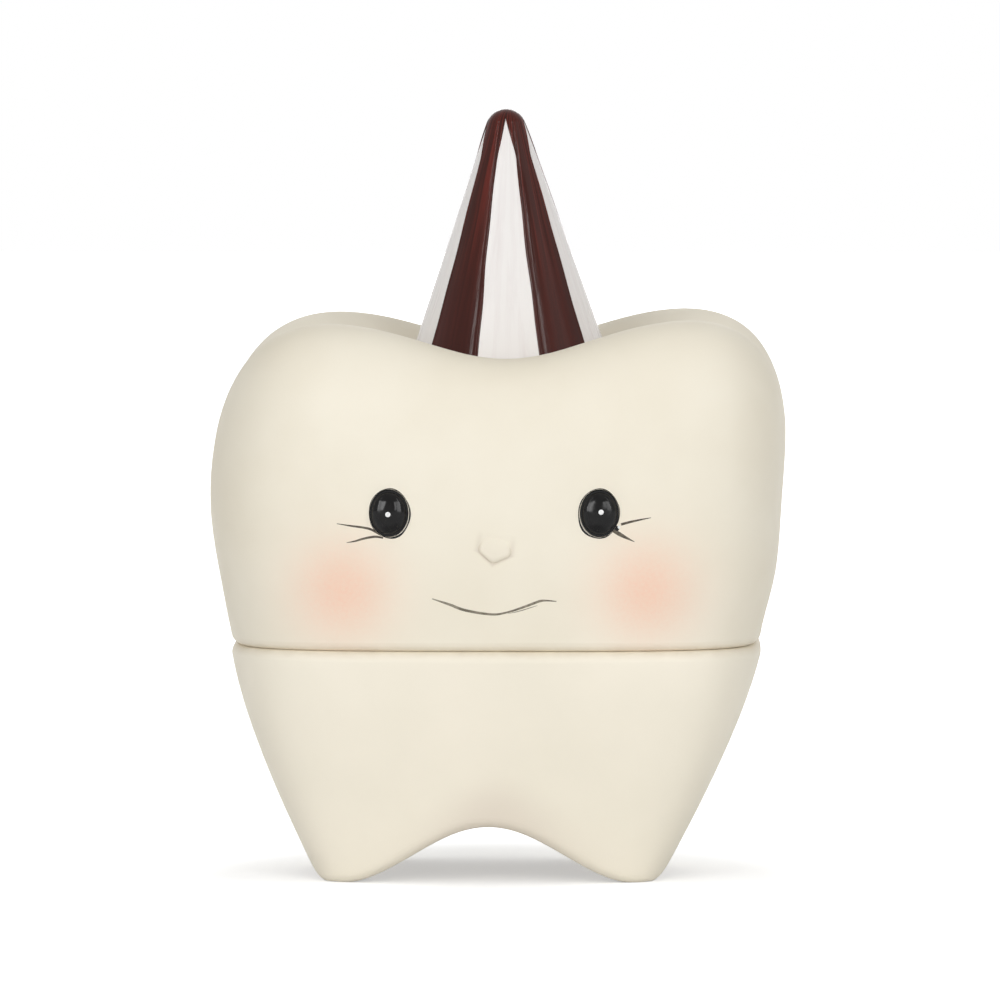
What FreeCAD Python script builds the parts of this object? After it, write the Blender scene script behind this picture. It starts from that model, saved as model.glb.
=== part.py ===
"""Tooth-shaped keepsake box: hollow root base, crown lid that lifts off, striped cone hat and bead eyes.

Millimetres. +Z is up, the face looks along -Y, and the origin is on the table under the middle.
"""

import FreeCAD, Part

import os
from math import asin, atan2, cos, hypot, pi, sin

from FreeCAD import Matrix, Placement, Rotation, Vector

# Outline of the crown and of the joint between lid and base
crown_width = 70.0
crown_depth = 58.0
crown_bulge_height = 48.0
seam_width = 64.4
seam_depth = 53.4
seam_height = 28.7
corner_squareness = 4.0
base_rim_step = 0.4

# Chewing surface: four cusps, a dip in the ridge between each two, and the hat's flat seat in the valley
cusp_height = 68.2
cusp_spacing_x = 43.2
cusp_spacing_y = 35.8
ridge_dip = 4.3
valley_depth = 7.7
crown_lean = 1.5
crown_tilt = 0.3

# Roots: four feet cut flat on the table, with an arch between each two, around a raised belly
root_width = 41.8
root_depth = 36.5
root_lean = -0.85
root_squareness = 7.0
foot_spacing_x = 37.0
foot_spacing_y = 28.0
foot_flat_cut = 0.25
arch_height = 6.9
belly_rise = 2.1
root_edge_radius = 2.0

# Hollow inside, and the raised lip that centres the lid
lid_rim_wall = 3.7
lid_roof_wall = 3.8
lid_roof_radius = 8.0
lip_clearance = 0.35
lip_wall = 2.2
lip_height = 2.8
pocket_floor_wall = 3.5
pocket_side_wall = 4.6
pocket_floor_radius = 4.0
lid_edge_radius = 1.3
base_edge_radius = 1.2

# Cone hat with its peg, and the raised enamel stripes on it
hat_height = 33.0
hat_base_radius = 13.1
hat_tip_radius = 2.4
hat_tilt = 0.8
hat_seat_margin = 1.5
hat_peg_radius = 4.0
hat_peg_length = 5.0
hat_peg_clearance = 0.15
stripe_count = 5
stripe_thickness = 0.15
stripe_cap_depth = 1.0

# Face: bead eyes in blind sockets, and a small nose
eye_width = 4.6
eye_height = 5.6
eye_spacing = 25.4
eye_level = 45.6
eye_plug_depth = 1.6
eye_rim_rise = 0.12
eye_rim_width = 0.2
eye_dome_rise = 1.15
eye_socket_clearance = 0.08
nose_width = 4.6
nose_top_width = 3.3
nose_side = 2.3
nose_point = 1.3
nose_rise = 0.4
nose_tilt = 11.0
nose_turn = -9.0
nose_drop = 7.3
nose_corner_radius = 1.0
nose_edge_radius = 0.7

# Rings of the crown below the bulge: share of the way out from the seam, and of the way up
CROWN_SIDE_RINGS = ((0.0, 0.0), (0.36, 0.25), (0.82, 0.62), (1.0, 1.0))
# Rings from the bulge to the crest: share of the way in, and of the way up at the corners and at the sides
CROWN_SHOULDER_RINGS = ((0.02, 0.33, 0.38), (0.12, 0.62, 0.64), (0.37, 0.86, 0.87), (1.0, 1.0, 1.0))
# Ring on the slope from the crest to the hat's seat: share of the way in, and down at corners and sides
VALLEY_RING = (0.5, 0.4, 0.45)
# Rings of the roots from the seam down, and how their taper grows with the drop
ROOT_RINGS = 5
ROOT_TAPER_POWER = 1.3
# Points each way of the floor under the roots
FLOOR_POINTS = 21
VALLEY_SQUARENESS = 3.0
ROUND = 2.0
CORNERS = 4
RING_POINTS = 32
LOFT_DEGREE = 3
TOUCHING = 1e-4
# Part of the hat's side that goes on below its seat, to be trimmed off once the hat leans
HAT_TRIM = 0.03
DOWN = Vector(0, 0, -1)
UP = Vector(0, 0, 1)
FORWARD = Vector(0, -1, 0)
SIDEWAYS = Vector(1, 0, 0)


def mix(start, end, share):
    return start + (end - start) * share


def pair(x, y):
    return Vector(x, y, 0)


# Half sizes of the outlines that several pieces share
corner_reach = 2 ** (-1 / corner_squareness)
crown_half = pair(crown_width / 2, crown_depth / 2)
lid_seam_half = pair(seam_width / 2, seam_depth / 2)
base_seam_half = lid_seam_half + pair(base_rim_step, base_rim_step)
crest_half = pair(cusp_spacing_x, cusp_spacing_y) / (2 * corner_reach)
root_half = pair(root_width / 2, root_depth / 2)
hat_seat_radius = hat_base_radius + hat_seat_margin
hat_seat_half = pair(hat_seat_radius, hat_seat_radius)
mouth_half = lid_seam_half - pair(lid_rim_wall, lid_rim_wall)
lip_half = mouth_half - pair(lip_clearance, lip_clearance)
pocket_half = lip_half - pair(lip_wall, lip_wall)
pocket_floor_half = (base_seam_half + root_half) / 2 - pair(pocket_side_wall, pocket_side_wall)

# Heights that several pieces share
ridge_dip_height = cusp_height - ridge_dip
hat_seat_height = cusp_height - valley_depth
nose_level = crown_bulge_height - nose_drop
belly_height = arch_height + belly_rise
pocket_floor_height = belly_height + pocket_floor_wall
lip_top = seam_height + lip_height
peg_hole_depth = hat_peg_length + hat_peg_clearance
lid_roof_height = hat_seat_height - peg_hole_depth - lid_roof_wall
hat_seat = Vector(crown_lean, 0, hat_seat_height)


def ring(half, squareness, corner_z, side_z, lean=0.0, tilt=0.0):
    """A closed rounded-rectangle wire that waves between corner_z at its corners and side_z at its sides."""
    points = []
    for i in range(RING_POINTS):
        turn = pi / 2 + 2 * pi * i / RING_POINTS
        reach = (abs(cos(turn)) ** squareness + abs(sin(turn)) ** squareness) ** (-1 / squareness)
        wave = (1 - cos(CORNERS * turn)) / 2
        z = mix(side_z, corner_z, wave) + tilt * cos(turn)
        points.append(Vector(lean + half.x * reach * cos(turn), half.y * reach * sin(turn), z))
    curve = Part.BSplineCurve()
    spacing = [i / RING_POINTS for i in range(RING_POINTS + 1)]
    curve.interpolate(Points=points, PeriodicFlag=True, Parameters=spacing)
    return Part.Wire(curve.toShape())


def flat_ring(half, squareness, z, lean=0.0):
    return ring(half, squareness, z, z, lean)


def prism(half, low, high):
    """An upright block with the rounded-rectangle outline of the box."""
    return Part.Face(flat_ring(half, corner_squareness, low)).extrude(UP * (high - low))


def level_edges(shape, z):
    """The edges that lie flat at height z."""
    found = []
    for edge in shape.Edges:
        box = edge.BoundBox
        if max(abs(box.ZMin - z), abs(box.ZMax - z)) < TOUCHING:
            found.append(edge)
    return found


def crown_body():
    """The crown's outside: up from the seam over the bulge, across four cusps and down to the hat's seat."""
    rings = []
    for outward, rise in CROWN_SIDE_RINGS:
        height = mix(seam_height, crown_bulge_height, rise)
        rings.append(flat_ring(mix(lid_seam_half, crown_half, outward), corner_squareness, height))
    for inward, corner_rise, side_rise in CROWN_SHOULDER_RINGS:
        corner_z = mix(crown_bulge_height, cusp_height, corner_rise)
        side_z = mix(crown_bulge_height, ridge_dip_height, side_rise)
        half = mix(crown_half, crest_half, inward)
        lean = crown_lean * corner_rise
        rings.append(ring(half, corner_squareness, corner_z, side_z, lean, crown_tilt * corner_rise))
    inward, corner_drop, side_drop = VALLEY_RING
    corner_z = mix(cusp_height, hat_seat_height, corner_drop)
    side_z = mix(ridge_dip_height, hat_seat_height, side_drop)
    half = mix(crest_half, hat_seat_half, inward)
    rings.append(ring(half, VALLEY_SQUARENESS, corner_z, side_z, crown_lean, crown_tilt * (1 - corner_drop)))
    rings.append(flat_ring(hat_seat_half, ROUND, hat_seat_height, crown_lean))
    return Part.makeLoft(rings, True, False, False, LOFT_DEGREE)


def root_sides():
    """A block that tapers from the seam down past the table."""
    rings = []
    for i in range(ROOT_RINGS + 1):
        z = mix(seam_height, -arch_height, i / ROOT_RINGS)
        drop = 1 - z / seam_height
        half = mix(base_seam_half, root_half, drop ** ROOT_TAPER_POWER)
        squareness = mix(corner_squareness, root_squareness, drop)
        rings.append(flat_ring(half, squareness, z, root_lean * drop))
    return Part.makeLoft(rings, True, False, False, LOFT_DEGREE)


def hump(offset, spacing):
    """1 half-way between two feet, and 0 from each foot outwards."""
    return (1 + cos(pi * min(1, 2 * abs(offset) / spacing))) / 2


def root_floor():
    """The space under the roots: low at the feet, an arch between each two, and highest at the belly."""
    rows = []
    for i in range(FLOOR_POINTS):
        x = mix(-seam_width, seam_width, i / (FLOOR_POINTS - 1)) / 2
        row = []
        for j in range(FLOOR_POINTS):
            y = mix(-seam_depth, seam_depth, j / (FLOOR_POINTS - 1)) / 2
            across = hump(x, foot_spacing_x)
            along = hump(y, foot_spacing_y)
            arch = mix(-foot_flat_cut, arch_height, 1 - (1 - across) * (1 - along))
            row.append(Vector(x + root_lean, y, arch + belly_rise * across * along))
        rows.append(row)
    surface = Part.BSplineSurface()
    surface.interpolate(rows)
    return surface.toShape().extrude(DOWN * seam_height)


def root_body():
    """The base's outside: down from the seam to four feet, with the edge round the arches rounded."""
    body = root_sides().cut(root_floor())
    under = min(body.Faces, key=lambda face: face.CenterOfMass.z)
    body = body.makeFillet(root_edge_radius, under.OuterWire.Edges)
    below_table = Part.makeBox(2 * seam_width, 2 * seam_depth, seam_height)
    below_table.translate(Vector(-seam_width, -seam_depth, -seam_height))
    return body.cut(below_table)


def make_base():
    body = root_body()
    body = body.makeFillet(base_edge_radius, level_edges(body, seam_height))
    lip = prism(lip_half, seam_height - lip_wall, lip_top)
    pocket_floor = flat_ring(pocket_floor_half, corner_squareness, pocket_floor_height)
    pocket_mouth = flat_ring(pocket_half, corner_squareness, lip_top)
    pocket = Part.makeLoft([pocket_floor, pocket_mouth], True, True)
    pocket = pocket.makeFillet(pocket_floor_radius, level_edges(pocket, pocket_floor_height))
    return body.fuse(lip).cut(pocket)


def front_point(body, x, z):
    """The point of the body's front surface at x and z, and the outward normal there."""
    ray = Part.makeLine(Vector(x, -crown_depth, z), Vector(x, 0, z))
    hit = min((vertex.Point for vertex in ray.common(body).Vertexes), key=lambda point: point.y)
    face = min(body.Faces, key=lambda side: side.distToShape(Part.Vertex(hit))[0])
    normal = face.normalAt(*face.Surface.parameter(hit))
    if normal.y > 0:
        normal = -normal
    return hit, normal


def on_face(shape, point, normal):
    """A shape modelled at the origin, facing forward, set on a point of the face."""
    shape.Placement = Placement(point, Rotation(FORWARD, normal)).multiply(shape.Placement)
    return shape


def stretched(shape, depth_share, height_share):
    """A round shape that faces forward, made shallower or deeper and oval."""
    stretch = Matrix()
    stretch.scale(1, depth_share, height_share)
    return shape.transformGeometry(stretch)


def oval_plug(radius, back, front):
    """An oval cylinder through the face, from back behind its surface to front before it."""
    plug = Part.makeCylinder(radius, back + front, -FORWARD * back, FORWARD)
    return stretched(plug, 1, eye_height / eye_width)


def make_eye(point, normal):
    plug = oval_plug(eye_width / 2, eye_plug_depth, eye_rim_rise)
    dome_radius = eye_width / 2 - eye_rim_width
    dome = Part.makeSphere(dome_radius, Vector(0, 0, 0), FORWARD, 0, 90, 360)
    dome = stretched(dome, (eye_dome_rise - eye_rim_rise) / dome_radius, eye_height / eye_width)
    dome.translate(FORWARD * eye_rim_rise)
    return on_face(plug.fuse(dome), point, normal)


def eye_socket(point, normal):
    socket = oval_plug(eye_width / 2 + eye_socket_clearance, eye_plug_depth, eye_plug_depth)
    return on_face(socket, point, normal)


def nose_shield():
    """A shield that faces forward: level top, sides that widen downwards, a blunt point and soft edges."""
    corners = [
        Vector(-nose_top_width / 2, 0, nose_side),
        Vector(nose_top_width / 2, 0, nose_side),
        Vector(nose_width / 2, 0, 0),
        Vector(0, 0, -nose_point),
        Vector(-nose_width / 2, 0, 0),
    ]
    depth = nose_width / 2
    outline = Part.makePolygon(corners + corners[:1])
    outline.translate(-FORWARD * depth)
    shield = Part.Face(outline).extrude(FORWARD * (depth + nose_rise))
    upright = [edge for edge in shield.Edges if edge.BoundBox.YLength > depth]
    shield = shield.makeFillet(nose_corner_radius, upright)
    front = [edge for edge in shield.Edges if edge.BoundBox.YMax < -nose_rise + TOUCHING]
    return shield.makeFillet(nose_edge_radius, front)


def add_nose(body):
    """The body with a small nose, which sinks into the face at its top and stands proud at its point."""
    point, normal = front_point(body, 0, nose_level)
    nose = nose_shield()
    nose.rotate(Vector(0, 0, 0), SIDEWAYS, -nose_tilt)
    nose.rotate(Vector(0, 0, 0), FORWARD, nose_turn)
    return body.fuse(on_face(nose, point, normal))


def make_lid(eyes):
    lid = crown_body()
    lid = lid.makeFillet(lid_edge_radius, level_edges(lid, seam_height))
    lid = add_nose(lid)
    cavity = prism(mouth_half, seam_height, lid_roof_height)
    cavity = cavity.makeFillet(lid_roof_radius, level_edges(cavity, lid_roof_height))
    lid = lid.cut(cavity)
    lid = lid.cut(Part.makeCylinder(hat_peg_radius + hat_peg_clearance, peg_hole_depth, hat_seat, DOWN))
    for point, normal in eyes:
        lid = lid.cut(eye_socket(point, normal))
    return lid


def cone(base_radius, tip_radius, height):
    """An upright cone that reaches a little under the hat's seat, its side tangent to its round tip."""
    tip_z = height - tip_radius
    lean = atan2(tip_z, -base_radius) - asin(tip_radius / hypot(base_radius, tip_z))
    touch_angle = lean - pi / 2
    middle_angle = (touch_angle + pi / 2) / 2
    touch = Vector(tip_radius * cos(touch_angle), 0, tip_z + tip_radius * sin(touch_angle))
    middle = Vector(tip_radius * cos(middle_angle), 0, tip_z + tip_radius * sin(middle_angle))
    edge = Vector(base_radius, 0, 0)
    foot = edge + (edge - touch) * HAT_TRIM
    top = Vector(0, 0, height)
    centre = Vector(0, 0, foot.z)
    outline = [
        Part.makeLine(centre, foot),
        Part.makeLine(foot, touch),
        Part.Arc(touch, middle, top).toShape(),
        Part.makeLine(top, centre),
    ]
    solid = Part.Face(Part.Wire(outline)).revolve(centre, UP, 360)
    solid.translate(hat_seat)
    return solid


def on_seat(shape):
    """An upright shape of the hat, leaned to one side and trimmed level on its seat."""
    shape.rotate(hat_seat, FORWARD, hat_tilt)
    under_seat = Part.makeCylinder(2 * hat_seat_radius, hat_height, hat_seat, DOWN)
    return shape.cut(under_seat)


def make_hat():
    peg = Part.makeCylinder(hat_peg_radius, hat_peg_length, hat_seat, DOWN)
    return on_seat(cone(hat_base_radius, hat_tip_radius, hat_height)).fuse(peg)


def make_stripes():
    """Enamel over the cone: stripe_count gores that join in a cap on the tip, with a bare gore in front."""
    core = cone(hat_base_radius, hat_tip_radius, hat_height)
    skin = cone(
        hat_base_radius + stripe_thickness,
        hat_tip_radius + stripe_thickness,
        hat_height + stripe_thickness,
    )
    reach = 2 * hat_base_radius
    pitch = 360 / stripe_count
    cap = Part.makeCylinder(reach, 2 * stripe_cap_depth, hat_seat + UP * (hat_height - stripe_cap_depth), UP)
    gores = []
    for i in range(stripe_count):
        gore = Part.makeCylinder(reach, 2 * hat_height, hat_seat + DOWN * hat_height, UP, pitch / 2)
        gore.rotate(hat_seat, UP, -90 + pitch / 4 + pitch * i)
        gores.append(gore)
    return on_seat(skin.cut(core).common(cap.multiFuse(gores)))


def main():
    os.makedirs("parts", exist_ok=True)
    crown = crown_body()
    eyes = [front_point(crown, side * eye_spacing / 2, eye_level) for side in (-1, 1)]
    parts = {
        "root_base": make_base(),
        "crown_lid": make_lid(eyes),
        "party_hat": make_hat(),
        "hat_stripes": make_stripes(),
        "left_eye": make_eye(*eyes[0]),
        "right_eye": make_eye(*eyes[1]),
    }
    for name, shape in parts.items():
        shape.exportStep(f"parts/{name}.step")
        print(name, len(shape.Solids), shape.isValid(), round(shape.Volume), len(shape.Faces))


main()
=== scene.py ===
"""Tooth keepsake box: matt cream crown and roots, an enamelled party hat, a painted face and a small studio.

Everything is in metres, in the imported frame: +Z is up and the face looks along -Y.
"""

from math import asin, atan2, cos, exp, hypot, pi, radians, sin

import bmesh
import bpy
from bpy.props import FloatProperty, FloatVectorProperty, PointerProperty
from bpy.types import NodeSocket, Operator, Panel, PropertyGroup
from mathutils import Matrix, Vector
from mathutils.bvhtree import BVHTree


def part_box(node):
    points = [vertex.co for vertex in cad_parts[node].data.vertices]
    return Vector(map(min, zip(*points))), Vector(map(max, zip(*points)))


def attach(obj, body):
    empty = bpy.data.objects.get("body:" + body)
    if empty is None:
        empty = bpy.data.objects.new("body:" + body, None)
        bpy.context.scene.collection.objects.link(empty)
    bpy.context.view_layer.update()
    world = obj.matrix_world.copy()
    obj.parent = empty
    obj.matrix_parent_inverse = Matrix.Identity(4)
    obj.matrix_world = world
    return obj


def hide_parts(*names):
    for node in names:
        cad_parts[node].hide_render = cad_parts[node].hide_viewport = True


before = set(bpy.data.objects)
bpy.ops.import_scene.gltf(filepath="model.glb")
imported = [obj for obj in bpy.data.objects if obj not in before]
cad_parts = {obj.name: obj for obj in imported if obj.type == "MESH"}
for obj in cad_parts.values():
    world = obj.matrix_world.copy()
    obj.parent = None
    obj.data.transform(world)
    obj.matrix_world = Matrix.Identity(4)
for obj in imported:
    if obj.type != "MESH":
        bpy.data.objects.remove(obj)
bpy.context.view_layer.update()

bl_info = {
    "name": "Tooth Keepsake Box",
    "version": (1, 0, 0),
    "blender": (4, 5, 0),
    "location": "View3D > Sidebar > Tooth Box",
    "description": "Paints a tooth-shaped keepsake box, its striped hat and its face, and sets up a studio",
    "category": "Object",
}

MM = 0.001
PEG_END_DEPTH = 0.01 * MM

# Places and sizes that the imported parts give
seam_level = Vector(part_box("crown_lid")[0]).z
hat_low, hat_high = (Vector(corner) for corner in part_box("party_hat"))
stripes_low, stripes_high = (Vector(corner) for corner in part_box("hat_stripes"))
hat_points = [vert.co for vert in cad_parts["party_hat"].data.vertices]
peg_end = [point for point in hat_points if point.z < hat_low.z + PEG_END_DEPTH]
hat_seat = sum(peg_end, Vector()) / len(peg_end)
hat_seat.z = stripes_low.z
hat_radius = (hat_high.y - hat_low.y) / 2
hat_height = hat_high.z - stripes_low.z
enamel_thickness = stripes_high.z - hat_high.z

# Brush strokes on the face, in millimetres: how far across, how high, and half the line's width there
STROKES = {
    "mouth": (
        (-7.5, 35.2, 0.07), (-5.4, 34.5, 0.19), (-3.5, 33.8, 0.2), (-0.3, 33.3, 0.17), (1.7, 33.6, 0.14),
        (3.8, 34.3, 0.17), (5.4, 34.9, 0.18), (6.2, 35.0, 0.13), (7.5, 34.9, 0.06),
    ),
    "mouth_second_stroke": ((1.6, 33.4, 0.02), (2.8, 33.65, 0.06), (4.0, 34.0, 0.06), (5.2, 34.4, 0.02)),
    "left_upper_lash": (
        (-13.8, 43.0, 0.13), (-14.8, 43.6, 0.17), (-15.8, 43.85, 0.16), (-17.3, 44.05, 0.13),
        (-19.0, 44.3, 0.04),
    ),
    "left_lower_lash": (
        (-13.4, 42.6, 0.13), (-14.3, 42.75, 0.17), (-15.6, 42.55, 0.16), (-16.8, 42.2, 0.12),
        (-17.8, 42.0, 0.04),
    ),
    "right_upper_lash": ((15.3, 44.25, 0.19), (16.4, 44.55, 0.17), (17.8, 44.85, 0.11), (18.9, 45.05, 0.04)),
    "right_lower_lash": ((14.3, 43.55, 0.24), (15.0, 43.15, 0.3), (15.8, 42.7, 0.21), (16.9, 42.15, 0.04)),
}
# Borders of the brown stripes, in degrees round the hat from its front: by hand, so not quite even
STRIPES = ((18, 54), (101, 128), (163, 197), (232, 254), (306, 342))
# Dabs of paint on and beside the eyes, in millimetres across and up
CATCHLIGHTS = {"left_eye": (-12.8, 45.5), "right_eye": (12.9, 45.8)}
EYE_CORNER = (14.72, 43.75)
EYE_CORNER_DOT = (15.0, 43.9)

# Lamps: azimuth and elevation in degrees, distance, width and height in metres, and power in watts
LAMPS = {
    "left_window": (-26, 14, 2.4, 0.8, 1.1, 9.5),
    "right_window": (22, 14, 2.4, 0.5, 0.9, 9.2),
    "left_strip": (-49, 24, 1.2, 0.03, 1.0, 1.3),
    "right_strip": (49, 24, 1.2, 0.03, 1.0, 1.5),
    "right_softbox": (74, 32, 1.2, 0.4, 0.3, 0.3),
    "back_softbox": (180, 9, 2.4, 0.9, 1.0, 6.0),
}
# Bright panes in the same terms, which show only in gloss: they make the window reflections in the eyes
PANES = {
    "left_pane": (-36, 13, 2.4, 1.3, 1.5, 44.0),
    "right_pane": (40, 12, 2.4, 0.8, 1.4, 23.0),
}

# Mesh steps along and across the painted pieces, and up and round the hat
STROKE_STEPS = 48
STROKE_LANES = 6
EYE_LINE_STEPS = 144
EYE_LINE_LANES = 4
EYE_LINE_POINTS = 25
DAB_STEPS = 12
HAT_SIDE_STEPS = 60
HAT_TIP_STEPS = 16
GORE_STEPS = 24
# Edges that are sharper than this are not smoothed
SHARP_ANGLE = radians(50)

# How far along a stroke, as a share of it, its heading is read
HEADING_REACH = 0.01
# The line round an eye: where the brush starts, where it presses and how briefly, and how its width wavers
EYE_LINE_START = radians(150)
EYE_LINE_HEAVY = radians(-50)
EYE_LINE_FOCUS = 1.5
EYE_LINE_WAVER = 0.25
EYE_LINE_WAVES = 5
EYE_LINE_SHIFT = 900

# A gore is spun this far before it is drawn to its borders. It starts below the seat, by this share of the
# hat's side, and is cut off level with it.
SPUN_ANGLE = radians(36)
HAT_TRIM = 0.03
# A gore's border: how sharply it drops, how deep under the white, and where its ridge lies and how wide it is
BORDER_DROP = 28
BORDER_DEPTH = 0.03 * MM
RIDGE_PLACE = 0.94
RIDGE_WIDTH = 0.035
# How a border strays by hand: share, waves up the hat, and shift from one border to the next
BORDER_WAVES = ((0.65, 9, 2.1), (0.35, 23, 4.3))
# How slowly the gores start to join, how near their points merge, how thick their bodies are, and how much of
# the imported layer's thickness the paint has away from its ridges
JOIN_CURVE = 1.3
MERGE_REACH = 0.002 * MM
GORE_BODY = 0.1 * MM
ENAMEL_SHARE = 0.6

# Noise scales of the paints, in cells per metre
CLOUD_SCALE = 55
DIMPLE_SCALE = 190
MATT_SCALE = 240
SEAM_SHADE_PATCH_SCALE = 320
LACQUER_WAVE_SCALE = 650
LACQUER_SMEAR_SCALE = 700
LACQUER_DUST_SCALE = 900
DRY_BRUSH_SCALE = 1500
GRAIN_SCALE = 1700
CATCHLIGHT_SCALE = 2400
SPECKLE_SCALE = 2600
# Brush marks on the hat: cells round a circle of radius 1, and cells per metre of height
WHITE_MARKS = (9, 70)
BROWN_MARKS = (14, 60)
BROWN_WAVES = (5, 160)
# Where on the hat the red brush marks start to grow, and how strong they are there and at the tip
RED_START = 0.35
RED_LOW = 0.12
RED_TOP = 0.9
# Painted shade along the seam, painted shade above an arch, and how much lighter or darker thin paint is
SEAM_EDGE = 0.25 * MM
SEAM_SHADE_STRENGTH = 0.6
ARCH_SHADE_STRENGTH = 0.6
DUSTY_BLACK = 1.8
THIN_WHITE = 0.8
# Depth at which the face's paint is whole, and at which it has ended
FACE_WHOLE = -14 * MM
FACE_END = -8 * MM
# Painted shade of the nose, in shares of its width and point: the crease, the inside, and how far up both
# fade
CREASE_PLACE = 1.08
CREASE_WIDTH = 0.2
INSIDE_WHOLE = 0.8
INSIDE_END = 1.1
INSIDE_STRENGTH = 0.3
NOSE_TOP = 2.1
NOSE_STRENGTH = 0.42

SENSOR_WIDTH = 36
FLOOR_DROP = 0.05 * MM
# Share of the shadow's reach in which the floor does not fade to white
SHADOW_CORE = 0.55


def length(name, description, default):
    """A size in metres that a user may change."""
    return FloatProperty(
        name=name, description=description, default=default, min=0, precision=5,
        subtype="DISTANCE", unit="LENGTH",
    )


def angle(name, description, degrees):
    """A turn that a user may change."""
    return FloatProperty(
        name=name, description=description, default=radians(degrees), subtype="ANGLE", unit="ROTATION"
    )


def fraction(name, description, default):
    """A part of a whole that a user may change."""
    return FloatProperty(
        name=name, description=description, default=default, min=0, max=1, subtype="FACTOR"
    )


def number(name, description, default):
    """A plain number from 0 up that a user may change."""
    return FloatProperty(name=name, description=description, default=default, min=0)


def colour(name, description, default):
    """A paint's colour, in linear light."""
    return FloatVectorProperty(
        name=name, description=description, default=default, size=3, min=0, max=1, subtype="COLOR"
    )


class CreamPaintSettings(PropertyGroup):
    """Matt paint of the tooth, with the blush on its cheeks."""

    cream: colour("Cream", "Matt paint on the crown", (0.89, 0.83, 0.695))
    cloud: colour("Cloud", "Slightly deeper cream where the coat is thin", (0.85, 0.785, 0.645))
    # The roots' cream is the crown's cream made lighter: a painted brightening in place of light bounced up
    # from the floor.
    root_cream_brightened: colour("Root cream", "Slightly lighter paint on the roots", (0.925, 0.86, 0.725))
    # Painted shade: the seam colour darkens the paint in patches along the seam between lid and base, and the
    # seam reach is how far that painted shade goes; the rubbed paint in their descriptions is this painted
    # shade.
    seam_painted_shade: colour("Seam shade", "Rubbed paint along the edges of the lid's seam", (0.74, 0.66, 0.53))
    seam_reach: length("Seam reach", "How far the rubbed paint reaches from the seam", 1.1 * MM)
    blush: colour("Blush", "Airbrushed peach on the cheeks", (0.93, 0.58, 0.43))
    blush_spread: length("Blush spread", "How far each cheek lies from the middle", 18.4 * MM)
    blush_level: length("Blush level", "How high the cheeks lie", 36.1 * MM)
    blush_radius: length("Blush radius", "Distance at which the blush has mostly faded", 5.8 * MM)
    # Painted shade above the arches between the roots, where their faces turn under: its colour, the arches'
    # height and width, and how far the painted shade reaches; the deeper beige in their descriptions is this
    # painted shade.
    arch_painted_shade: colour("Arch shade", "Deeper beige above the arches between the roots", (0.74, 0.65, 0.55))
    arch_height: length("Arch height", "Top of the arches", 8.0 * MM)
    arch_width: length("Arch width", "From an arch's middle to where it has mostly come down", 9.5 * MM)
    arch_reach: length("Arch reach", "How far the deeper beige reaches above an arch", 7.0 * MM)
    # Painted shade in the crease round the nose and faintly inside it: its colour, and the place, size and
    # lean of the nose that it follows.
    nose_painted_shade_colour: colour("Nose shade", "Grey-beige in the crease round the nose", (0.55, 0.46, 0.37))
    nose_level: length("Nose level", "Height of the nose's lower corners", 40.7 * MM)
    nose_width: length("Nose width", "From its middle to a corner", 1.85 * MM)
    nose_point: length("Nose point", "How far its point hangs below the corners", 1.25 * MM)
    nose_turn: angle("Nose turn", "Lean of the nose to one side", 9)
    gloss: fraction("Gloss", "Specular level of the matt paint", 0.3)


class HatSettings(PropertyGroup):
    """Enamels of the party hat and the shape of its painted stripes."""

    white: colour("White", "Off-white enamel of the cone", (0.89, 0.86, 0.838))
    white_shade: colour("White shade", "Thin places in the white enamel", (0.77, 0.715, 0.7))
    brown: colour("Brown", "Dark brown enamel of the stripes", (0.048, 0.009, 0.0055))
    brown_streak: colour("Brown streak", "Reddish brush marks in the brown", (0.17, 0.024, 0.016))
    tilt: angle("Tilt", "Lean of the hat to one side", 0.8)
    tip_radius: length("Tip radius", "Round end of the cone", 2.4 * MM)
    cap_depth: length("Cap depth", "Where the brown stripes have joined below the tip", 1.0 * MM)
    join_depth: length("Join depth", "Where the brown stripes start to join below the tip", 5.8 * MM)
    enamel: length("Enamel", "Thickness of the brown paint", ENAMEL_SHARE * enamel_thickness)
    bead: number("Bead", "Ridge of thick enamel along a border", 0.9)
    wander: length("Wander", "How far a brushed border strays from its line", 0.11 * MM)
    white_gloss: fraction("White gloss", "Specular level of the white enamel", 0.24)
    brown_gloss: fraction("Brown gloss", "Specular level of the brown enamel", 0.15)


class FaceSettings(PropertyGroup):
    """Paints of the eyes, the mouth and the lashes."""

    black: colour("Black", "Lacquer of the eyes", (0.005, 0.0046, 0.0046))
    lash_ink: colour("Lash ink", "Dark brown of the lashes", (0.06, 0.046, 0.032))
    mouth_ink: colour("Mouth ink", "Grey-brown of the mouth, and of thin lashes", (0.145, 0.125, 0.088))
    thin_ink: colour("Thin ink", "The mouth's paint where the brush ran dry", (0.29, 0.255, 0.19))
    catchlight: colour("Catchlight", "White dot on each eye", (0.86, 0.86, 0.85))
    catchlight_radius: length("Catchlight radius", "Size of the white dots", 0.38 * MM)
    corner_radius: length("Corner radius", "Size of the dark dab in the corner of one eye", 0.42 * MM)
    corner_dot_radius: length("Corner dot radius", "Size of the dot in the corner of one eye", 0.23 * MM)
    eye_line_thin: length("Thin eye line", "Half width of the line round the eye at its thinnest", 0.07 * MM)
    eye_line_thick: length("Thick eye line", "Half width of that line on the lower inner side", 0.14 * MM)
    eye_line_close: length("Eye line close", "Distance from the bead to the line where it hugs it", 0.02 * MM)
    eye_line_gap: length("Eye line gap", "That distance on the lower inner side", 0.1 * MM)
    paint_rise: length("Paint rise", "How far a brush stroke stands up", 0.035 * MM)
    paint_sink: length("Paint sink", "How deep a stroke's edge lies under the skin", 0.015 * MM)
    black_gloss: fraction("Black gloss", "Specular level of the lacquer", 0.17)
    ink_gloss: fraction("Ink gloss", "Specular level of the mouth's and lashes' paint", 0.3)


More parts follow.
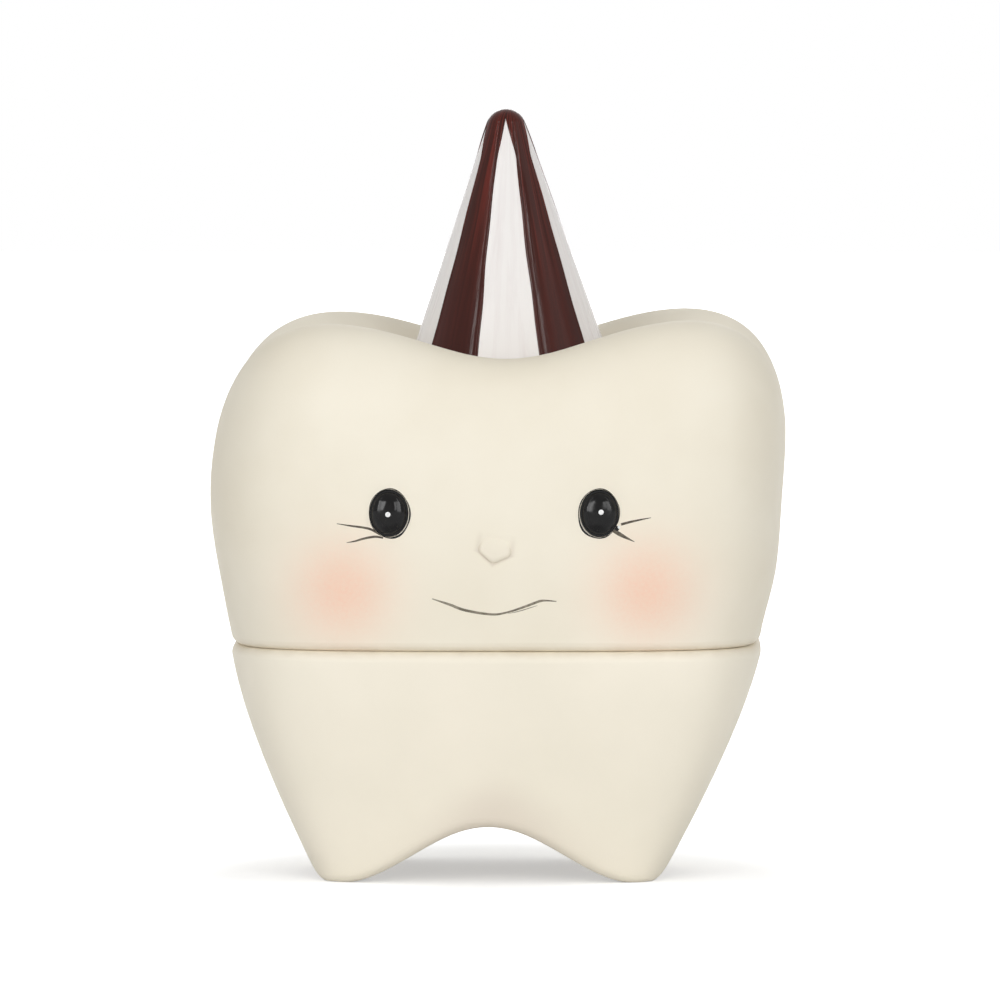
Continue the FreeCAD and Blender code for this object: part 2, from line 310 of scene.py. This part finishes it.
class StageSettings(PropertyGroup):
    """Camera, lamps and floor."""

    camera_distance: length("Camera distance", "From the lens to the middle of the box", 1.7)
    camera_azimuth: angle("Camera azimuth", "Turn of the camera round the box", 0.8)
    camera_elevation: angle("Camera elevation", "Height of the camera above the level", 3.2)
    camera_lens: FloatProperty(name="Lens", description="Focal length in millimetres", default=499.0, min=1)
    aim: FloatVectorProperty(
        name="Aim", description="Middle of the picture", default=(0.3 * MM, 0, 45.6 * MM), size=3,
        subtype="TRANSLATION", unit="LENGTH",
    )
    lamp_level: number("Lamp level", "Strength of all lamps", 1.0)
    ambient: number("Ambient", "Strength of the room's own light", 0.66)
    side_dim: fraction("Side dim", "How much less of it comes from straight left and right", 0.85)
    floor_size: length("Floor size", "Half the side of the floor", 2.0)
    paper: colour("Paper", "Floor under the box", (0.88, 0.89, 0.905))
    floor_glow: number("Floor glow", "White that the camera sees besides the lit paper", 0.39)
    shadow_reach: length("Shadow reach", "How far to either side the floor shows the box's shadow", 58 * MM)
    shadow_shift: length("Shadow shift", "How far in front of the box the middle of its shadow lies", 18 * MM)
    shadow_depth: number("Shadow depth", "How much further it shows in depth than to the sides", 1.5)


class ToothBoxSettings(PropertyGroup):
    """Everything that a user may change about the box and its studio."""

    cream: PointerProperty(type=CreamPaintSettings)
    hat: PointerProperty(type=HatSettings)
    face: PointerProperty(type=FaceSettings)
    stage: PointerProperty(type=StageSettings)


def mix(start, end, share):
    """The value at a share of the way from start to end."""
    return start + (end - start) * share


def bell(value, middle, width):
    """A bump of height 1 round a middle value."""
    return exp(-(((value - middle) / width) ** 2))


# Shader nodes


def new_material(name):
    """An empty node material, with its tree and its shader."""
    material = bpy.data.materials.new(name)
    material.use_nodes = True
    tree = material.node_tree
    return material, tree, tree.nodes["Principled BSDF"]


def node(tree, kind, inputs=None, **settings):
    """A shader node with its settings, its constant inputs and its links."""
    made = tree.nodes.new("ShaderNode" + kind)
    for name, value in settings.items():
        setattr(made, name, value)
    for key, value in (inputs or {}).items():
        plug(tree, made.inputs[key], value)
    return made


def plug(tree, socket, value):
    """Links a socket to another one, or sets it."""
    if isinstance(value, NodeSocket):
        tree.links.new(value, socket)
    elif socket.type == "RGBA":
        socket.default_value = (*value, 1)
    else:
        socket.default_value = value


def object_place(tree):
    """A point's place on its object, which it keeps in every pose; for the room, the way a ray looks."""
    return node(tree, "TexCoord").outputs["Object"]


def noise(tree, place, scale, detail=2.0):
    """Cloudy noise between 0 and 1."""
    return node(tree, "TexNoise", {"Vector": place, "Scale": scale, "Detail": detail}).outputs[0]


def spread(tree, value, low, high, to_low, to_high, way="LINEAR"):
    """Maps a value's range to another one, and holds it there."""
    inputs = {"Value": value, "From Min": low, "From Max": high, "To Min": to_low, "To Max": to_high}
    return node(tree, "MapRange", inputs, interpolation_type=way).outputs[0]


def blend(tree, factor, first, second):
    """A colour between two others."""
    return node(tree, "Mix", {0: factor, 6: first, 7: second}, data_type="RGBA").outputs[2]


def sums(tree, operation, first, second=0.0):
    """The result of a Math node."""
    return node(tree, "Math", {0: first, 1: second}, operation=operation).outputs[0]


def vectors(tree, operation, first, second=(0, 0, 0)):
    """The result of a Vector Math node that gives a vector."""
    return node(tree, "VectorMath", {0: first, 1: second}, operation=operation).outputs["Vector"]


def measured(tree, place):
    """How far a place is from zero."""
    return node(tree, "VectorMath", {0: place}, operation="LENGTH").outputs["Value"]


def bumped(tree, height, strength, distance, under=None):
    """A normal that follows a height, on top of another bump where one is given."""
    inputs = {"Height": height, "Strength": strength, "Distance": distance}
    if under is not None:
        inputs["Normal"] = under
    return node(tree, "Bump", inputs).outputs[0]


def seen_by_camera(tree):
    """1 for what the camera sees, directly, in gloss or through glass."""
    rays = node(tree, "LightPath").outputs
    direct = sums(tree, "MAXIMUM", rays["Is Camera Ray"], rays["Is Glossy Ray"])
    return sums(tree, "MAXIMUM", direct, rays["Is Transmission Ray"])


# Paints


def cream_paint(name, settings, cream, cloud, with_face):
    """Matt cream paint on cast resin: soft clouds, a fine grain and patchy painted shade along the seam."""
    material, tree, shader = new_material(name)
    place = object_place(tree)
    height = node(tree, "SeparateXYZ", {0: place}).outputs["Z"]

    clouds = spread(tree, noise(tree, place, CLOUD_SCALE, 3), 0.38, 0.66, 0, 1)
    paint = blend(tree, clouds, cream, cloud)
    # Painted shade in patches along the seam between lid and base.
    from_seam = sums(tree, "ABSOLUTE", sums(tree, "SUBTRACT", height, seam_level))
    seam_shading = spread(tree, from_seam, SEAM_EDGE, settings.seam_reach, SEAM_SHADE_STRENGTH, 0)
    patchy = spread(tree, noise(tree, place, SEAM_SHADE_PATCH_SCALE, 3), 0.35, 0.65, 0.45, 1)
    paint = blend(tree, sums(tree, "MULTIPLY", seam_shading, patchy), paint, settings.seam_painted_shade)
    if with_face:
        # Painted shade round the nose, then the blush.
        paint = blend(tree, painted_shade_round_nose(tree, place, settings), paint, settings.nose_painted_shade_colour)
        paint = blend(tree, blush_mask(tree, place, settings), paint, settings.blush)
    else:
        # Painted shade above the arches between the roots.
        paint = blend(tree, painted_shade_over_arches(tree, place, settings), paint, settings.arch_painted_shade)
    plug(tree, shader.inputs["Base Color"], paint)

    matt = spread(tree, noise(tree, place, MATT_SCALE, 3), 0.3, 0.7, 0.56, 0.7)
    plug(tree, shader.inputs["Roughness"], matt)
    dimples = bumped(tree, noise(tree, place, DIMPLE_SCALE, 2), 0.12, 0.2 * MM)
    grain = bumped(tree, noise(tree, place, GRAIN_SCALE, 3), 0.14, 0.05 * MM, dimples)
    plug(tree, shader.inputs["Normal"], grain)
    shader.inputs["Specular IOR Level"].default_value = settings.gloss
    return material


def faded(tree, reach, middle, width):
    """1 where a distance has a middle value, fading away on both sides of it like a bell."""
    off = sums(tree, "DIVIDE", sums(tree, "SUBTRACT", reach, middle), width)
    return sums(tree, "EXPONENT", sums(tree, "MULTIPLY", sums(tree, "MULTIPLY", off, off), -1.0))


def painted_shade_over_arches(tree, place, settings):
    """Soft painted shade that follows the tops of the four arches between the roots, where their faces turn
    under.
    """
    across, depth, height = node(tree, "SeparateXYZ", {0: place}).outputs
    rise = sums(
        tree, "MAXIMUM",
        faded(tree, across, 0.0, settings.arch_width), faded(tree, depth, 0.0, settings.arch_width),
    )
    above = sums(tree, "SUBTRACT", height, sums(tree, "MULTIPLY", rise, settings.arch_height))
    shade = spread(tree, above, 0, settings.arch_reach, ARCH_SHADE_STRENGTH, 0, "SMOOTHSTEP")
    return sums(tree, "MULTIPLY", rise, shade)


def blush_mask(tree, place, settings):
    """Two round airbrushed patches on the front of the crown, with a fine speckle."""
    cheek = (settings.blush_spread, 0, settings.blush_level)
    away = vectors(tree, "SUBTRACT", vectors(tree, "ABSOLUTE", place), cheek)
    reach = measured(tree, vectors(tree, "MULTIPLY", away, (1, 0, 1)))
    patch = faded(tree, reach, 0.0, settings.blush_radius)
    speckle = spread(tree, noise(tree, place, SPECKLE_SCALE, 2), 0.3, 0.7, 0.66, 0.8)
    return sums(tree, "MULTIPLY", sums(tree, "MULTIPLY", patch, on_front(tree, place)), speckle)


def on_front(tree, place):
    """1 on the front of the crown and 0 on its sides and back."""
    depth = node(tree, "SeparateXYZ", {0: place}).outputs["Y"]
    return spread(tree, depth, FACE_WHOLE, FACE_END, 1, 0)


def painted_shade_round_nose(tree, place, settings):
    """Soft painted shade along the nose's point and up its sides, in the crease round it, and fainter painted
    shade inside it.
    """
    inputs = {
        "Vector": place,
        "Location": (0, 0, settings.nose_level),
        "Rotation": (0, settings.nose_turn, 0),
        "Scale": (settings.nose_width, 1, settings.nose_point),
    }
    turned = node(tree, "Mapping", inputs, vector_type="TEXTURE").outputs[0]
    local = node(tree, "SeparateXYZ", {0: turned}).outputs
    aside = sums(tree, "ABSOLUTE", local["X"])
    below = sums(tree, "MAXIMUM", sums(tree, "MULTIPLY", local["Z"], -1.0), 0.0)
    reach = sums(tree, "ADD", aside, below)
    crease = faded(tree, reach, CREASE_PLACE, CREASE_WIDTH)
    inside = spread(tree, reach, INSIDE_WHOLE, INSIDE_END, INSIDE_STRENGTH, 0)
    fading = spread(tree, local["Z"], 0, NOSE_TOP, NOSE_STRENGTH, 0)
    shade = sums(tree, "MAXIMUM", crease, inside)
    return sums(tree, "MULTIPLY", shade, sums(tree, "MULTIPLY", fading, on_front(tree, place)))


def brush_marks(tree, place, scales, detail=4):
    """Noise drawn out along the hat's slope, the way a brush ran up it."""
    centred = node(tree, "Mapping", {0: place, 1: tuple(-hat_seat)}).outputs[0]
    level = vectors(tree, "NORMALIZE", vectors(tree, "MULTIPLY", centred, (1, 1, 0)))
    round_scale, height_scale = scales
    ring = vectors(tree, "MULTIPLY", level, (round_scale, round_scale, 0))
    climb = vectors(tree, "MULTIPLY", centred, (0, 0, height_scale))
    return noise(tree, vectors(tree, "ADD", ring, climb), 1, detail)


def white_enamel(settings):
    """Glossy off-white of the hat's cone, a little thin between the brush marks."""
    material, tree, shader = new_material("white_enamel")
    place = object_place(tree)
    marks = brush_marks(tree, place, WHITE_MARKS)
    thin = spread(tree, marks, 0.45, 0.75, 0, 0.75)
    plug(tree, shader.inputs["Base Color"], blend(tree, thin, settings.white, settings.white_shade))
    plug(tree, shader.inputs["Roughness"], spread(tree, marks, 0.3, 0.7, 0.2, 0.32))
    plug(tree, shader.inputs["Normal"], bumped(tree, marks, 0.25, 0.12 * MM))
    shader.inputs["Specular IOR Level"].default_value = settings.white_gloss
    return material


def brown_enamel(settings):
    """Thick glossy brown of the stripes, with reddish brush marks that grow towards the tip."""
    material, tree, shader = new_material("brown_enamel")
    place = object_place(tree)
    marks = brush_marks(tree, place, BROWN_MARKS)
    height = node(tree, "SeparateXYZ", {0: place}).outputs["Z"]
    near_tip = spread(tree, height, hat_seat.z + RED_START * hat_height, hat_high.z, RED_LOW, RED_TOP)
    red = sums(tree, "MULTIPLY", spread(tree, marks, 0.45, 0.65, 0, 1), near_tip)
    plug(tree, shader.inputs["Base Color"], blend(tree, red, settings.brown, settings.brown_streak))
    plug(tree, shader.inputs["Roughness"], spread(tree, marks, 0.3, 0.7, 0.08, 0.16))
    waves = bumped(tree, brush_marks(tree, place, BROWN_WAVES, 2), 0.2, 0.15 * MM)
    plug(tree, shader.inputs["Normal"], bumped(tree, marks, 0.15, 0.1 * MM, waves))
    shader.inputs["Specular IOR Level"].default_value = settings.brown_gloss
    return material


def black_lacquer(settings):
    """Glossy black of the eyes, brushed on in a slightly uneven coat."""
    material, tree, shader = new_material("black_lacquer")
    place = object_place(tree)
    dust = spread(tree, noise(tree, place, LACQUER_DUST_SCALE, 3), 0.5, 0.75, 0, 1)
    dusty = tuple(DUSTY_BLACK * part for part in settings.black)
    plug(tree, shader.inputs["Base Color"], blend(tree, dust, settings.black, dusty))
    smear = spread(tree, noise(tree, place, LACQUER_SMEAR_SCALE, 2), 0.35, 0.65, 0.06, 0.2)
    plug(tree, shader.inputs["Roughness"], smear)
    waves = bumped(tree, noise(tree, place, LACQUER_WAVE_SCALE, 1), 0.3, 0.25 * MM)
    plug(tree, shader.inputs["Normal"], waves)
    shader.inputs["Specular IOR Level"].default_value = settings.black_gloss
    return material


def face_ink(name, settings, full, thin):
    """Thin brown paint, lighter where the brush ran dry."""
    material, tree, shader = new_material(name)
    place = object_place(tree)
    dry = spread(tree, noise(tree, place, DRY_BRUSH_SCALE, 3), 0.42, 0.68, 0, 1)
    plug(tree, shader.inputs["Base Color"], blend(tree, dry, full, thin))
    plug(tree, shader.inputs["Roughness"], spread(tree, dry, 0, 1, 0.45, 0.65))
    shader.inputs["Specular IOR Level"].default_value = settings.ink_gloss
    return material


def catchlight_white(settings):
    """White dab, with a faint grey where the lacquer shows through."""
    material, tree, shader = new_material("catchlight_white")
    place = object_place(tree)
    thin = spread(tree, noise(tree, place, CATCHLIGHT_SCALE, 2), 0.5, 0.75, 0, 1)
    greyer = tuple(THIN_WHITE * part for part in settings.catchlight)
    plug(tree, shader.inputs["Base Color"], blend(tree, thin, settings.catchlight, greyer))
    plug(tree, shader.inputs["Roughness"], spread(tree, thin, 0, 1, 0.3, 0.45))
    return material


def coat(name, material):
    """Gives a cast part its paint."""
    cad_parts[name].material_slots[0].material = material


# Painted pieces


def finished(name, mesh_in_work, material):
    """The object of a finished mesh, which rides on the lid."""
    if mesh_in_work.calc_volume(signed=True) < 0:
        bmesh.ops.reverse_faces(mesh_in_work, faces=mesh_in_work.faces)
    mesh = bpy.data.meshes.new(name)
    mesh_in_work.to_mesh(mesh)
    mesh_in_work.free()
    mesh.shade_smooth()
    mesh.set_sharp_from_angle(angle=SHARP_ANGLE)
    mesh.materials.append(material)
    piece = bpy.data.objects.new(name, mesh)
    bpy.context.scene.collection.objects.link(piece)
    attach(piece, "lid")
    return piece


def skin_of(name):
    """The surface of a cast part, to lay paint on."""
    return BVHTree.FromObject(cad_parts[name], bpy.context.evaluated_depsgraph_get())


def laid_on(skin, across, height):
    """Where a line from the front meets the skin, and the way the skin faces there."""
    point, normal, _, _ = skin.ray_cast(Vector((across, -1, height)), Vector((0, 1, 0)))
    if point is None:
        raise RuntimeError(f"no skin under the paint at {across:.4f}, {height:.4f}")
    return point, normal


def paint_patch(name, steps, lanes, place, skin, material, settings):
    """A thin closed body of paint on a skin.

    The function place turns a square's points into across, height and fullness.
    """
    work = bmesh.new()
    bmesh.ops.create_grid(work, x_segments=steps, y_segments=lanes, size=1)
    for vert in work.verts:
        across, height, fullness = place(vert.co.x, vert.co.y)
        point, normal = laid_on(skin, across, height)
        vert.co = point + normal * mix(-settings.paint_sink, settings.paint_rise, fullness)
    work.normal_update()
    if sum(face.normal.y for face in work.faces) > 0:
        bmesh.ops.reverse_faces(work, faces=work.faces)
    bmesh.ops.solidify(work, geom=work.faces[:], thickness=2 * settings.paint_sink)
    bmesh.ops.recalc_face_normals(work, faces=work.faces)
    return finished(name, work, material)


def along(route, share):
    """The point at a share of the way along a smooth line through the route's points."""
    place = share * (len(route) - 1)
    index = min(int(place), len(route) - 2)
    rest = place - index
    before, start, end, after = (route[min(max(index + step, 0), len(route) - 1)] for step in (-1, 0, 1, 2))
    bend = (2 * before - 5 * start + 4 * end - after) * rest
    twist = (3 * start - before - 3 * end + after) * rest * rest
    return start + 0.5 * rest * (end - before + bend + twist)


def stroke(route):
    """Places a square's points along a brush stroke: x runs along the route and y across it."""

    def place(x, y):
        share = (x + 1) / 2
        here = along(route, share)
        ahead = along(route, min(share + HEADING_REACH, 1))
        way = ahead - along(route, max(share - HEADING_REACH, 0))
        aside = Vector((-way.y, way.x)).normalized() * here.z * y
        return here.x + aside.x, here.y + aside.y, 1 - y * y

    return place


def dab(centre, radius):
    """Places a square's points in a round dab."""

    def place(x, y):
        across = x * (1 - y * y / 2) ** 0.5
        up = y * (1 - x * x / 2) ** 0.5
        fullness = max(1 - across * across - up * up, 0)
        return centre.x + radius * across, centre.y + radius * up, fullness

    return place


def eye_line(eye, settings):
    """The route of the line round an eye, thickest on the side that is lower and nearer the nose."""
    low, high = (Vector(corner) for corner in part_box(eye))
    centre = (low + high) / 2
    half_width = (high.x - low.x) / 2
    half_height = (high.z - low.z) / 2
    inward = -1 if centre.x > 0 else 1
    route = []
    for index in range(EYE_LINE_POINTS):
        turn = 2 * pi * index / (EYE_LINE_POINTS - 1) + EYE_LINE_START
        weight = max(cos(turn - EYE_LINE_HEAVY), 0) ** EYE_LINE_FOCUS
        unsteady = 1 + EYE_LINE_WAVER * sin(EYE_LINE_WAVES * turn + centre.x * EYE_LINE_SHIFT)
        half_line = mix(settings.eye_line_thin, settings.eye_line_thick, weight) * unsteady
        off = mix(settings.eye_line_close, settings.eye_line_gap, weight) + half_line
        across = centre.x + inward * (half_width + off) * cos(turn)
        route.append(Vector((across, centre.z + (half_height + off) * sin(turn), half_line)))
    return route


def touch_angle(tip_radius):
    """The way the hat's straight side faces, which is where it meets the round tip."""
    tip_height = hat_height - tip_radius
    return atan2(tip_height, -hat_radius) - asin(tip_radius / hypot(hat_radius, tip_height)) - pi / 2


def hat_outline(tip_radius):
    """Points up the hat's side, from a little under its seat, and round its tip: radius and height."""
    touch = touch_angle(tip_radius)
    tip_middle = Vector((0, hat_height - tip_radius))
    top_of_side = tip_middle + tip_radius * Vector((cos(touch), sin(touch)))
    edge = Vector((hat_radius, 0))
    foot = edge + (edge - top_of_side) * HAT_TRIM
    outline = [foot.lerp(top_of_side, step / HAT_SIDE_STEPS) for step in range(HAT_SIDE_STEPS)]
    for step in range(HAT_TIP_STEPS):
        turn = mix(touch, pi / 2, step / HAT_TIP_STEPS)
        outline.append(tip_middle + tip_radius * Vector((cos(turn), sin(turn))))
    outline.append(Vector((0, hat_height)))
    return outline


def border_stray(settings, border, height):
    """How far a border that was brushed by hand strays from its line at a height."""
    climb = height / hat_height
    strays = [part * sin(waves * climb + shift * border) for part, waves, shift in BORDER_WAVES]
    return settings.wander * sum(strays)


def facing_out(settings, radius, height):
    """The way the hat's surface faces at a point of its outline."""
    tip_height = hat_height - settings.tip_radius
    touch = touch_angle(settings.tip_radius)
    if height >= tip_height + settings.tip_radius * sin(touch):
        return Vector((radius, height - tip_height)).normalized()
    return Vector((cos(touch), sin(touch)))


def brush_gore(work, settings, index):
    """One brown gore: the hat's outline spun round its axis, then drawn to borders brushed by hand."""
    start, end = STRIPES[index]
    start_joined = (STRIPES[index - 1][1] - 360 * (index == 0) + start) / 2
    end_joined = (STRIPES[(index + 1) % len(STRIPES)][0] + 360 * (index == len(STRIPES) - 1) + end) / 2
    chain = [work.verts.new((spot.x, 0, spot.y)) for spot in hat_outline(settings.tip_radius)]
    lines = [work.edges.new(two) for two in zip(chain, chain[1:])]
    bmesh.ops.spin(
        work, geom=chain + lines, cent=(0, 0, 0), axis=(0, 0, 1), angle=SPUN_ANGLE, steps=GORE_STEPS
    )
    lean = Matrix.Rotation(-settings.tilt, 3, "Y")
    for vert in [vert for vert in work.verts if not vert.tag]:
        vert.tag = True
        radius = hypot(vert.co.x, vert.co.y)
        height = vert.co.z
        share = 2 * atan2(vert.co.y, vert.co.x) / SPUN_ANGLE - 1
        lane = sin(share * pi / 2)
        joined = (height - hat_height + settings.join_depth) / (settings.join_depth - settings.cap_depth)
        joined = min(max(joined, 0), 1) ** JOIN_CURVE
        first = radians(mix(start, start_joined, joined))
        last = radians(mix(end, end_joined, joined))
        stray = (1 - joined) / max(radius, settings.tip_radius / 2)
        first += stray * border_stray(settings, 2 * index, height)
        last += stray * border_stray(settings, 2 * index + 1, height)
        turn = mix(first, last, (lane + 1) / 2) - pi / 2
        ridge = settings.bead * bell(abs(lane), RIDGE_PLACE, RIDGE_WIDTH)
        edge = (1 - joined) * (abs(lane) ** BORDER_DROP - ridge)
        lift = mix(settings.enamel, -BORDER_DEPTH, edge)
        spot = Vector((radius, height)) + lift * facing_out(settings, radius, height)
        vert.co = hat_seat + lean @ Vector((spot.x * cos(turn), spot.x * sin(turn), spot.y))


class TOOTHBOX_OT_paint_roots(Operator):
    """Paint the base with its roots in matt cream"""

    bl_idname = "tooth_box.paint_roots"
    bl_label = "Paint the Roots"

    def execute(self, context):
        settings = context.scene.tooth_box.cream
        # The roots get the lightened cream, a painted brightening in place of light bounced up from the
        # floor, with the crown's cream for their clouds.
        paint = cream_paint("root_cream_brightened", settings, settings.root_cream_brightened, settings.cream, with_face=False)
        coat("root_base", paint)
        return {"FINISHED"}


class TOOTHBOX_OT_paint_crown(Operator):
    """Paint the lid in matt cream, with a blush on the cheeks"""

    bl_idname = "tooth_box.paint_crown"
    bl_label = "Paint the Crown"

    def execute(self, context):
        settings = context.scene.tooth_box.cream
        paint = cream_paint("crown_cream", settings, settings.cream, settings.cloud, with_face=True)
        coat("crown_lid", paint)
        return {"FINISHED"}


class TOOTHBOX_OT_enamel_hat(Operator):
    """Coat the cone in white enamel"""

    bl_idname = "tooth_box.enamel_hat"
    bl_label = "Enamel the Hat"

    def execute(self, context):
        coat("party_hat", white_enamel(context.scene.tooth_box.hat))
        return {"FINISHED"}


class TOOTHBOX_OT_paint_stripes(Operator):
    """Paint the brown stripes, which join in a cap on the hat's tip"""

    bl_idname = "tooth_box.paint_stripes"
    bl_label = "Paint the Stripes"

    def execute(self, context):
        settings = context.scene.tooth_box.hat
        work = bmesh.new()
        for index in range(len(STRIPES)):
            brush_gore(work, settings, index)
        bmesh.ops.remove_doubles(work, verts=work.verts, dist=MERGE_REACH)
        everything = work.verts[:] + work.edges[:] + work.faces[:]
        bmesh.ops.bisect_plane(
            work, geom=everything, plane_co=hat_seat, plane_no=(0, 0, 1), clear_inner=True
        )
        bmesh.ops.recalc_face_normals(work, faces=work.faces)
        if sum(face.normal.z for face in work.faces) < 0:
            bmesh.ops.reverse_faces(work, faces=work.faces)
        bmesh.ops.solidify(work, geom=work.faces[:], thickness=GORE_BODY)
        stripes = finished("painted_stripes", work, brown_enamel(settings))
        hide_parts("hat_stripes")
        return {"FINISHED"}


class TOOTHBOX_OT_set_eyes(Operator):
    """Lacquer the eyes, draw the line round each, and dab the catchlights and one eye's corner"""

    bl_idname = "tooth_box.set_eyes"
    bl_label = "Set the Eyes"

    def execute(self, context):
        settings = context.scene.tooth_box.face
        lacquer = black_lacquer(settings)
        white = catchlight_white(settings)
        crown = skin_of("crown_lid")
        for eye, (across, height) in CATCHLIGHTS.items():
            coat(eye, lacquer)
            line = stroke(eye_line(eye, settings))
            ring = paint_patch(
                eye + "_line", EYE_LINE_STEPS, EYE_LINE_LANES, line, crown, lacquer, settings
            )
            spot = dab(Vector((across, height)) * MM, settings.catchlight_radius)
            paint_patch(eye + "_catchlight", DAB_STEPS, DAB_STEPS, spot, skin_of(eye), white, settings)
        corner = dab(Vector(EYE_CORNER) * MM, settings.corner_radius)
        dark = paint_patch("right_eye_corner", DAB_STEPS, DAB_STEPS, corner, crown, lacquer, settings)
        dot = dab(Vector(EYE_CORNER_DOT) * MM, settings.corner_dot_radius)
        paint_patch("right_eye_corner_dot", DAB_STEPS, DAB_STEPS, dot, crown, white, settings)
        return {"FINISHED"}


class TOOTHBOX_OT_paint_face(Operator):
    """Brush the mouth and the lashes onto the crown"""

    bl_idname = "tooth_box.paint_face"
    bl_label = "Paint the Face"

    def execute(self, context):
        settings = context.scene.tooth_box.face
        lash_ink = face_ink("lash_ink", settings, settings.lash_ink, settings.mouth_ink)
        mouth_ink = face_ink("mouth_ink", settings, settings.mouth_ink, settings.thin_ink)
        crown = skin_of("crown_lid")
        for name, points in STROKES.items():
            route = [Vector(point) * MM for point in points]
            ink = lash_ink if name.endswith("lash") else mouth_ink
            paint_patch(name, STROKE_STEPS, STROKE_LANES, stroke(route), crown, ink, settings)
        return {"FINISHED"}


class TOOTHBOX_OT_set_stage(Operator):
    """Set the floor, the room, the lamps and the camera"""

    bl_idname = "tooth_box.set_stage"
    bl_label = "Set the Stage"

    def execute(self, context):
        settings = context.scene.tooth_box.stage
        lay_floor(settings)
        light_room(context.scene, settings)
        for name, lamp in LAMPS.items():
            hang_lamp(name, settings, *lamp)
        for name, pane in PANES.items():
            hang_lamp(name, settings, *pane).visible_diffuse = False
        place_camera(context.scene, settings)
        context.scene.view_settings.view_transform = "Standard"
        return {"FINISHED"}


def around(azimuth, elevation):
    """The way from the box to a place round it: azimuth 0 is in front and a positive one to the right."""
    level = cos(elevation)
    return Vector((level * sin(azimuth), -level * cos(azimuth), sin(elevation)))


def lay_floor(settings):
    """White paper that shows the box's shadow and otherwise reads as plain white."""
    material, tree, shader = new_material("paper_floor")
    plug(tree, shader.inputs["Base Color"], settings.paper)
    shader.inputs["Roughness"].default_value = 0.9
    shader.inputs["Specular IOR Level"].default_value = 0.0
    shader.inputs["Emission Color"].default_value = (1, 1, 1, 1)
    moved = vectors(tree, "ADD", object_place(tree), (0, settings.shadow_shift, 0))
    flat = vectors(tree, "MULTIPLY", moved, (1, 1 / settings.shadow_depth, 0))
    reach = settings.shadow_reach
    glow = spread(
        tree, measured(tree, flat), SHADOW_CORE * reach, reach, settings.floor_glow, 1, "SMOOTHSTEP"
    )
    plug(tree, shader.inputs["Emission Strength"], sums(tree, "MULTIPLY", seen_by_camera(tree), glow))
    work = bmesh.new()
    bmesh.ops.create_grid(work, x_segments=1, y_segments=1, size=settings.floor_size)
    bmesh.ops.translate(work, verts=work.verts, vec=(0, 0, -FLOOR_DROP))
    mesh = bpy.data.meshes.new("paper_floor")
    work.to_mesh(mesh)
    work.free()
    mesh.materials.append(material)
    floor = bpy.data.objects.new("paper_floor", mesh)
    bpy.context.scene.collection.objects.link(floor)


def light_room(scene, settings):
    """A room that lights softly from all round, less so from the sides, and shows as plain white."""
    world = bpy.data.worlds.new("white_room")
    world.use_nodes = True
    tree = world.node_tree
    background = tree.nodes["Background"]
    background.inputs["Color"].default_value = (1, 1, 1, 1)
    across = node(tree, "SeparateXYZ", {0: object_place(tree)}).outputs["X"]
    sideways = sums(tree, "MULTIPLY", across, across)
    dim = sums(tree, "MULTIPLY", sideways, -settings.side_dim * settings.ambient)
    light = sums(tree, "ADD", dim, settings.ambient)
    level = node(tree, "Mix", {0: seen_by_camera(tree), 2: light, 3: 1.0}).outputs[0]
    plug(tree, background.inputs["Strength"], level)
    scene.world = world


def hang_lamp(name, settings, azimuth, elevation, distance, width, height, power):
    """A flat soft lamp that faces the box."""
    light = bpy.data.lights.new(name, "AREA")
    light.shape = "RECTANGLE"
    light.size = width
    light.size_y = height
    light.energy = settings.lamp_level * power
    way = around(radians(azimuth), radians(elevation))
    lamp = bpy.data.objects.new(name, light)
    lamp.location = Vector(settings.aim) + way * distance
    lamp.rotation_euler = way.to_track_quat("Z", "Y").to_euler()
    bpy.context.scene.collection.objects.link(lamp)
    return lamp


def place_camera(scene, settings):
    """A long lens in front of the box, aimed at its middle."""
    lens = bpy.data.cameras.new("camera")
    lens.lens = settings.camera_lens
    lens.sensor_width = SENSOR_WIDTH
    way = around(settings.camera_azimuth, settings.camera_elevation)
    camera = bpy.data.objects.new("camera", lens)
    camera.location = Vector(settings.aim) + way * settings.camera_distance
    camera.rotation_euler = way.to_track_quat("Z", "Y").to_euler()
    scene.collection.objects.link(camera)
    scene.camera = camera


OPERATORS = (
    TOOTHBOX_OT_paint_roots,
    TOOTHBOX_OT_paint_crown,
    TOOTHBOX_OT_enamel_hat,
    TOOTHBOX_OT_paint_stripes,
    TOOTHBOX_OT_set_eyes,
    TOOTHBOX_OT_paint_face,
    TOOTHBOX_OT_set_stage,
)


class TOOTHBOX_PT_sidebar(Panel):
    """The steps of making the box, and what can be changed about them"""

    bl_idname = "TOOTHBOX_PT_sidebar"
    bl_label = "Tooth Keepsake Box"
    bl_space_type = "VIEW_3D"
    bl_region_type = "UI"
    bl_category = "Tooth Box"

    def draw(self, context):
        for step in OPERATORS:
            self.layout.operator(step.bl_idname)
        settings = context.scene.tooth_box
        for group in (settings.cream, settings.hat, settings.face, settings.stage):
            box = self.layout.box()
            for name in group.__annotations__:
                box.prop(group, name)


CLASSES = (
    CreamPaintSettings,
    HatSettings,
    FaceSettings,
    StageSettings,
    ToothBoxSettings,
    *OPERATORS,
    TOOTHBOX_PT_sidebar,
)


def register():
    for each in CLASSES:
        bpy.utils.register_class(each)
    bpy.types.Scene.tooth_box = PointerProperty(type=ToothBoxSettings)


def unregister():
    del bpy.types.Scene.tooth_box
    for each in reversed(CLASSES):
        bpy.utils.unregister_class(each)


def main():
    register()
    bpy.ops.tooth_box.paint_roots()
    bpy.ops.tooth_box.paint_crown()
    bpy.ops.tooth_box.enamel_hat()
    bpy.ops.tooth_box.paint_stripes()
    bpy.ops.tooth_box.set_eyes()
    bpy.ops.tooth_box.paint_face()
    bpy.ops.tooth_box.set_stage()


if __name__ == "__main__":
    main()
